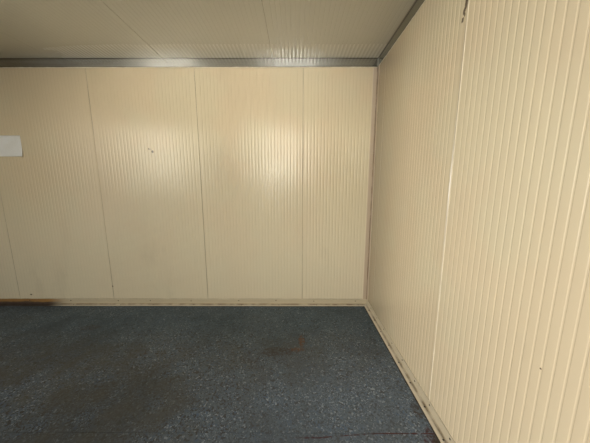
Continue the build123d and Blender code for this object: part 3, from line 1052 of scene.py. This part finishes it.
# %% Rivet the sheet
def corner_rivets():
    """Rivets up the back leg of both corner trims."""
    from_corner_line = 0.028
    places, normals = [], []
    for side in (1, -1):
        run = spaced(skirting_top + 0.06, strip_z - 0.06, spacing=0.45, jitter=0.02, seed=30 + side)
        for z in run:
            places += [(side * (wall_x - from_corner_line), wall_y - sheet_gauge, z)]
            normals += [(0, -1, 0)]
    return heads("corner_trim_rivets", places, normals, RIVET, sides=12)


def outside_rivets():
    """Rivets in both legs of each post and along the foot of the fascia."""
    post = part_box("corner_post_back_right")[1]
    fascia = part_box("roof_fascia_back")[1]
    fascia_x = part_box("roof_fascia_right")[1].x
    from_post_edge, from_fascia_foot = 0.085, 0.022
    places, normals = [], []
    for side_x in (1, -1):
        for side_y in (1, -1):
            for z in spaced(0.24, strip_z - 0.08, spacing=0.32, jitter=0.01, seed=40):
                places += [(side_x * post.x, side_y * (post.y - from_post_edge), z)]
                places += [(side_x * (post.x - from_post_edge), side_y * post.y, z)]
                normals += [(side_x, 0, 0), (0, side_y, 0)]
    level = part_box("roof_fascia_back")[0].z + from_fascia_foot
    for x in spaced(-fascia_x + 0.05, fascia_x - 0.05, spacing=0.30, jitter=0.01, seed=41):
        places += [(x, fascia.y, level), (x, -fascia.y, level)]
        normals += [(0, 1, 0), (0, -1, 0)]
    for y in spaced(-fascia.y + 0.05, fascia.y - 0.05, spacing=0.30, jitter=0.01, seed=42):
        places += [(fascia_x, y, level), (-fascia_x, y, level)]
        normals += [(1, 0, 0), (-1, 0, 0)]
    return heads("outside_rivets", places, normals, RIVET, sides=12)


add_piece(corner_rivets(), corner_paint)
add_piece(outside_rivets(), small["screw_steel"])

# %% [markdown]
# The roof panels are screwed through the tops of their crowns, where rain does not stand. Each
# screw clamps a rubber washer on the crown.

# %% Screw down the roof
def crown_places():
    """Tops of the crowns, counted from each panel's right edge, in three rows: one near each
    eave and one in the middle. Where a neighbour's sheet laps over a crown, it is higher."""
    panels, crowns = 6, 4
    edge, pitch, lap = 0.045, 0.25, 0.0015
    rows = (-wall_y + 0.06, 0.0, wall_y - 0.06)
    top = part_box("roof_panel_1")[1].z
    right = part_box("right_wall_panel_1")[1].x
    places = []
    for panel in range(panels):
        end = right - panel
        for crown in range(crowns):
            x = end - edge - crown * pitch
            if x > -right + 0.1:
                lapped = crown == 0 and panel > 0
                places += [(x, y, top + (lap if lapped else 0.0)) for y in rows]
    return places


washers = crown_places()
up = [(0, 0, 1)] * len(washers)
saddles = heads("roof_washers", washers, up, SADDLE, sides=16)
add_piece(saddles, small["washer_rubber"])
screw_seats = [(x, y, z + 0.0022) for x, y, z in washers]
hexagons = heads("roof_screws", screw_seats, up, HEX_HEAD, sides=18, hexagon_rows=(1, 2, 3))
add_piece(hexagons, small["screw_steel"])

# %% [markdown]
# ## Sealant beads
#
# A thin pale line runs under the galvanised strip, where a bead of sealant closes the joint
# with the wall. A bead is a quarter-round profile carried along the wall. Its radius swells and
# shrinks along the way, because a hand held the gun.

# %% Draw the beads
def bead(name, start, stop, into_room, down, radius, seed):
    """Bead from start to stop: point = place + r cos(a) into_room + r sin(a) down, a from 0 to 90.

    The radius r varies along the bead as smoothed random numbers from a fixed seed. A row drawn
    together to one point closes each end."""
    start, stop = np.array(start, float), np.array(stop, float)
    station_gap, smooth_over, unevenness = 0.02, 9, 0.9
    stations = int(np.linalg.norm(stop - start) / station_gap)
    random = np.random.default_rng(seed)
    numbers = random.normal(size=stations + smooth_over - 1)
    wobble = np.convolve(numbers, np.ones(smooth_over) / smooth_over, "valid")
    size = radius * (1 + unevenness * wobble)
    path = start + (stop - start) * np.linspace(0, 1, stations)[:, None]
    angle = np.linspace(0, np.pi / 2, 6)[None, :, None]
    arc = np.cos(angle) * np.array(into_room, float) + np.sin(angle) * np.array(down, float)
    rim = path[:, None, :] + size[:, None, None] * arc
    rings = np.concatenate([rim, path[:, None, :]], axis=1)
    return grid_mesh(name, capped(rings, path[0], path[-1])[None], round_columns=True)


for label, start, stop, into_room in (
    ("back", (-wall_x, wall_y, strip_z), (wall_x, wall_y, strip_z), (0, -1, 0)),
    ("right", (wall_x, wall_y, strip_z), (wall_x, -wall_y, strip_z), (-1, 0, 0)),
    ("left", (-wall_x, -wall_y, strip_z), (-wall_x, wall_y, strip_z), (1, 0, 0)),
):
    run = bead(f"strip_sealant_{label}", start, stop, into_room, (0, 0, -1), radius=0.0048, seed=5)
    add_piece(run, small["sealant"])

# %% [markdown]
# The joint in the middle of the end wall shows as one bright upright line. A bead of paler
# filler, which stands a little proud, catches the light from the open front; its paler colour is
# a painted highlight of the joint's edge.

# %% Fill the joint
joint_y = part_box("right_wall_panel_2")[0].y
for label, side in (("right", 1), ("left", -1)):
    foot, head = (side * wall_x, joint_y, skirting_top), (side * wall_x, joint_y, strip_z)
    into_room, outwards = (-side, 0, 0), (0, -1, 0)
    run = bead(f"joint_highlight_bead_{label}", foot, head, into_room, outwards, radius=0.0027, seed=6)
    add_piece(run, small["joint_highlight_filler"])

# %% [markdown]
# The end of the side strip is folded over the back strip in the corner, where it shows as a
# narrow bright tab. It is a profile of two short legs carried up the height of the strip.

# %% Fold the tab in the corner
def corner_tabs():
    """Folded tab: a path in plan (along the back strip, round the corner, along the side strip),
    offset outwards by the gauge, with columns from the foot of the strip to the ceiling."""
    face_x, face_y = wall_x - strip_gauge, wall_y - strip_gauge
    leg_back, leg_side, gauge, lift = 0.007, 0.030, 0.0012, 0.0002
    near, far = lift, lift + gauge
    loop = np.array(
        [(leg_back, near), (near, near), (near, leg_side)]
        + [(far, leg_side), (far, far), (leg_back, far)]
    )
    levels = np.linspace(strip_z + 0.0015, ceiling_z - 0.002, 8)
    tabs = []
    for side in (1, -1):
        x = side * (face_x - loop[:, 0])
        ring = np.stack([x, face_y - loop[:, 1], np.zeros(len(loop))], axis=-1)
        rows = np.repeat(ring[None], len(levels), axis=0)
        rows[:, :, 2] = levels[:, None]
        tabs.append(capped(rows, rows[0].mean(axis=0), rows[-1].mean(axis=0)))
    return grid_mesh("strip_corner_tabs", np.stack(tabs), round_columns=True)


add_piece(corner_tabs(), pale_zinc, smooth=False)

# %% [markdown]
# The seam of the covering was closed with a soft filler cord that has gone dark red. It is left
# by the end wall only, broken into lengths. Each length is a low half-round, and its ends taper
# to points.

# %% Lay the filler in the seam
def seam_filler():
    """Lengths of filler: half-round section whose radius is the root of sin along the length.

    Every length has its own start and its own wander to the side, from a fixed seed, and all
    drift off the seam with the glue, by the smooth step 3 s s - 2 s s s."""
    random = np.random.default_rng(8)
    seam_line = (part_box("floor_covering_front")[1].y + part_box("floor_covering_back")[0].y) / 2
    cuts = np.sort(random.uniform(wall_x - GLUE_END, wall_x - skirting_foot, 14))
    starts, ends = cuts[:-1] + 0.006, cuts[1:] - 0.006
    keep = ends - starts > 0.02
    starts, ends = starts[keep], ends[keep]
    t = np.linspace(0, 1, 40)
    angle = np.linspace(0, np.pi, 7)
    swell = np.sqrt(np.clip(np.sin(np.pi * t), 0, 1))[None, :]
    wander = random.normal(0, 0.0008, (len(starts), 1)) * np.sin(7 * np.pi * t)[None, :]
    x = starts[:, None] + (ends - starts)[:, None] * t
    width, rise = 0.0022 * swell, 0.0009 * swell
    off = np.clip((wall_x - GLUE_TURN - x) / (GLUE_END - GLUE_TURN), 0, 1)
    wander = wander - GLUE_DRIFT * off**2 * (3 - 2 * off)
    y = seam_line + wander[:, :, None] + width[:, :, None] * np.cos(angle)
    z = floor_z + 0.0001 + rise[:, :, None] * np.sin(angle)
    points = np.stack(np.broadcast_arrays(x[:, :, None], y, z), axis=-1)
    return grid_mesh("seam_filler", points, round_columns=True)


add_piece(seam_filler(), small["seam_filler"])

# %% [markdown]
# ## The bare plate and the nail
#
# A white plastic plate hangs on the back wall, and a nail sticks out beside it. The plate is a
# sheet over two parameters u and v: it lies flat, and its lower corners lift off the wall as the
# fourth power of u and v, as thin plastic does with age.

# %% Hang the plate
def plate_mesh():
    """Sheet: x from left to right with u, z upwards with v, and the lift off the wall grows
    as |2u - 1| to the fourth times (1 - v) to the fourth."""
    left, right, low, high = 3.69, 3.39, 1.533, 1.728
    u, v = np.meshgrid(np.linspace(0, 1, 25), np.linspace(0, 1, 17), indexing="ij")
    x = wall_x - left + (left - right) * u
    z = floor_z + low + (high - low) * v
    lift = 0.0016 + 0.012 * np.abs(2 * u - 1) ** 4 * (1 - v) ** 4
    return grid_mesh("bare_plate", np.stack([x, wall_y - lift, z], axis=-1)[None])


plate = add_piece(plate_mesh(), small["plate_plastic"])
thickness = plate.modifiers.new("thickness", "SOLIDIFY")
thickness.thickness = 0.0012
thickness.offset = 0.0


def nail_mesh():
    """Nail: a turned profile whose middle line droops as the square of the way out."""
    radius = np.array([0.0, 0.0034, 0.0036, 0.0014, 0.0013, 0.0012, 0.0012, 0.0])
    out = np.array([0.024, 0.024, 0.0228, 0.0222, 0.015, 0.007, -0.001, -0.001])
    angle = np.linspace(0, 2 * np.pi, 12, endpoint=False)
    base_x, base_y, base_z = from_corner(2.147, 0.0, 1.602)
    droop = 6.0 * out**2
    x = base_x + radius[:, None] * np.cos(angle)
    z = base_z - droop[:, None] + radius[:, None] * np.sin(angle)
    points = np.stack(np.broadcast_arrays(x, base_y - out[:, None], z), axis=-1)
    return grid_mesh("wall_nail", points[None], round_columns=True)


add_piece(nail_mesh(), small["dark_screw"])

# %% [markdown]
# ## Light and ground
#
# The room is open on one side, so it is lit as a real one is, from the front, by soft lamps in
# the places of a doorway and windows. The surround is white to the eye, to gloss and to glass,
# and weaker as a light.

# %% Set the surround
def direct_rays(tree):
    """1 for the eye, for gloss and for glass, and 0 for the light that the surround gives."""
    path = put(tree, "ShaderNodeLightPath").outputs
    mirrored = highest(Value(path["Is Glossy Ray"]), Value(path["Is Transmission Ray"]))
    return highest(Value(path["Is Camera Ray"]), mirrored)


def surround(diffuse_strength):
    """World that is white to camera, gloss and glass rays, and weaker to the rest."""
    world = bpy.data.worlds.new("surround")
    world.use_nodes = True
    background = world.node_tree.nodes["Background"]
    strength = ramp(direct_rays(world.node_tree), 0.0, 1.0, diffuse_strength, 1.0)
    feed(strength, background.inputs["Strength"])
    background.inputs["Color"].default_value = rgb(1.0, 1.0, 1.0)
    bpy.context.scene.world = world
    print("surround:", diffuse_strength, "as a light")


surround(0.54)

# %% [markdown]
# The cabin stands on a wide disc of pale floor. Away from the cabin it fades to the white of the
# surround, so that no horizon shows. The fade is for the eye and for gloss only, and the floor
# still lights the room from below.

# %% Lay the ground
def ground():
    """Flat disc of quads out to the horizon: rows are radii, columns are angles."""
    radius = np.array([0.0, 4.0, 12.0, 60.0])
    angle = np.linspace(0, 2 * np.pi, 48, endpoint=False)
    x, y = radius[:, None] * np.cos(angle), radius[:, None] * np.sin(angle)
    points = np.stack([x, y, np.full_like(x, -0.0005)], axis=-1)
    mesh = grid_mesh("ground", points[None], round_columns=True)
    material, vector = new_material("pale_ground")
    pale = blend(noise(vector, 0.6), rgb(0.78, 0.78, 0.77), rgb(0.74, 0.74, 0.73))
    shader = shade(material, {"Base Color": pale, "Roughness": 0.85})
    distance = vector_calc("LENGTH", {0: vector}, "Value")
    far = ramp(distance, 4.0, 10.0) * direct_rays(vector.tree)
    glow = {"Color": rgb(1.0, 1.0, 1.0), "Strength": 1.0}
    white = put(vector.tree, "ShaderNodeEmission", glow)
    surfaces = {0: far, 1: Value(shader.outputs[0]), 2: Value(white.outputs[0])}
    mixed = put(vector.tree, "ShaderNodeMixShader", surfaces)
    feed(Value(mixed.outputs[0]), vector.tree.nodes["Material Output"].inputs["Surface"])
    mesh.materials.append(material)
    floor = bpy.data.objects.new("ground", mesh)
    bpy.context.scene.collection.objects.link(floor)
    print("ground:", 2 * radius[-1], "m across")


ground()

# %% [markdown]
# Two high lamps stand where the back wall mirrors them, and draw its two bright fields. Two low
# ones are mirrored twice, by the ceiling and by the strip, and draw the strip's bright lengths.
# One from the left lights the end wall, and two more keep the outside from going flat.

# %% Switch on the lamps
def soft_lamp(name, place, aim, width, height, power, spread=180, warmth=0.0):
    """Rectangular lamp that points from its place to the aim, with its beam's full angle in
    degrees. Warmth takes a little blue out."""
    data = bpy.data.lights.new(name, "AREA")
    data.shape = "RECTANGLE"
    data.size, data.size_y, data.energy = width, height, power
    data.color = (1.0, 1.0 - warmth * 0.25, 1.0 - warmth)
    data.spread = math.radians(spread)
    lamp = bpy.data.objects.new(name, data)
    lamp.location = place
    x, y, z = np.subtract(aim, place)
    lamp.rotation_euler = (math.atan2(math.hypot(x, y), -z), 0, math.atan2(y, x) - math.pi / 2)
    bpy.context.scene.collection.objects.link(lamp)


# Name, place, aim, width, height, power, angle of the beam, warmth
soft_lamp("front_lamp", (1.31, -6.0, 2.60), (1.9, 1.2, 1.6), 1.1, 2.1, 15, 60, 0.22)
soft_lamp("window_lamp", (-3.10, -6.0, 2.50), (0.9, 1.2, 1.7), 1.8, 2.2, 12.5, 60, 0.21)
soft_lamp("left_lamp", (-5.5, -4.5, 1.2), (2.7, -1.1, 0.9), 1.8, 1.8, 30, 36)
soft_lamp("low_right_lamp", (1.84, -3.8, 0.20), (1.88, 1.2, 2.5), 1.4, 0.30, 2.25, 20, 0.06)
soft_lamp("low_left_lamp", (-1.60, -3.8, 0.20), (0.72, 1.2, 2.5), 1.1, 0.30, 2.25, 20, 0.12)
soft_lamp("side_lamp", (7.5, 1.5, 5.0), (0, 0, 1.3), 3.5, 3.0, 230)
soft_lamp("back_lamp", (-5.5, 6.5, 4.5), (0, 0, 1.3), 3.5, 3.0, 260)
print("lamps:", ", ".join(lamp.name for lamp in bpy.data.lights))
bpy.context.scene.view_settings.view_transform = "Standard"
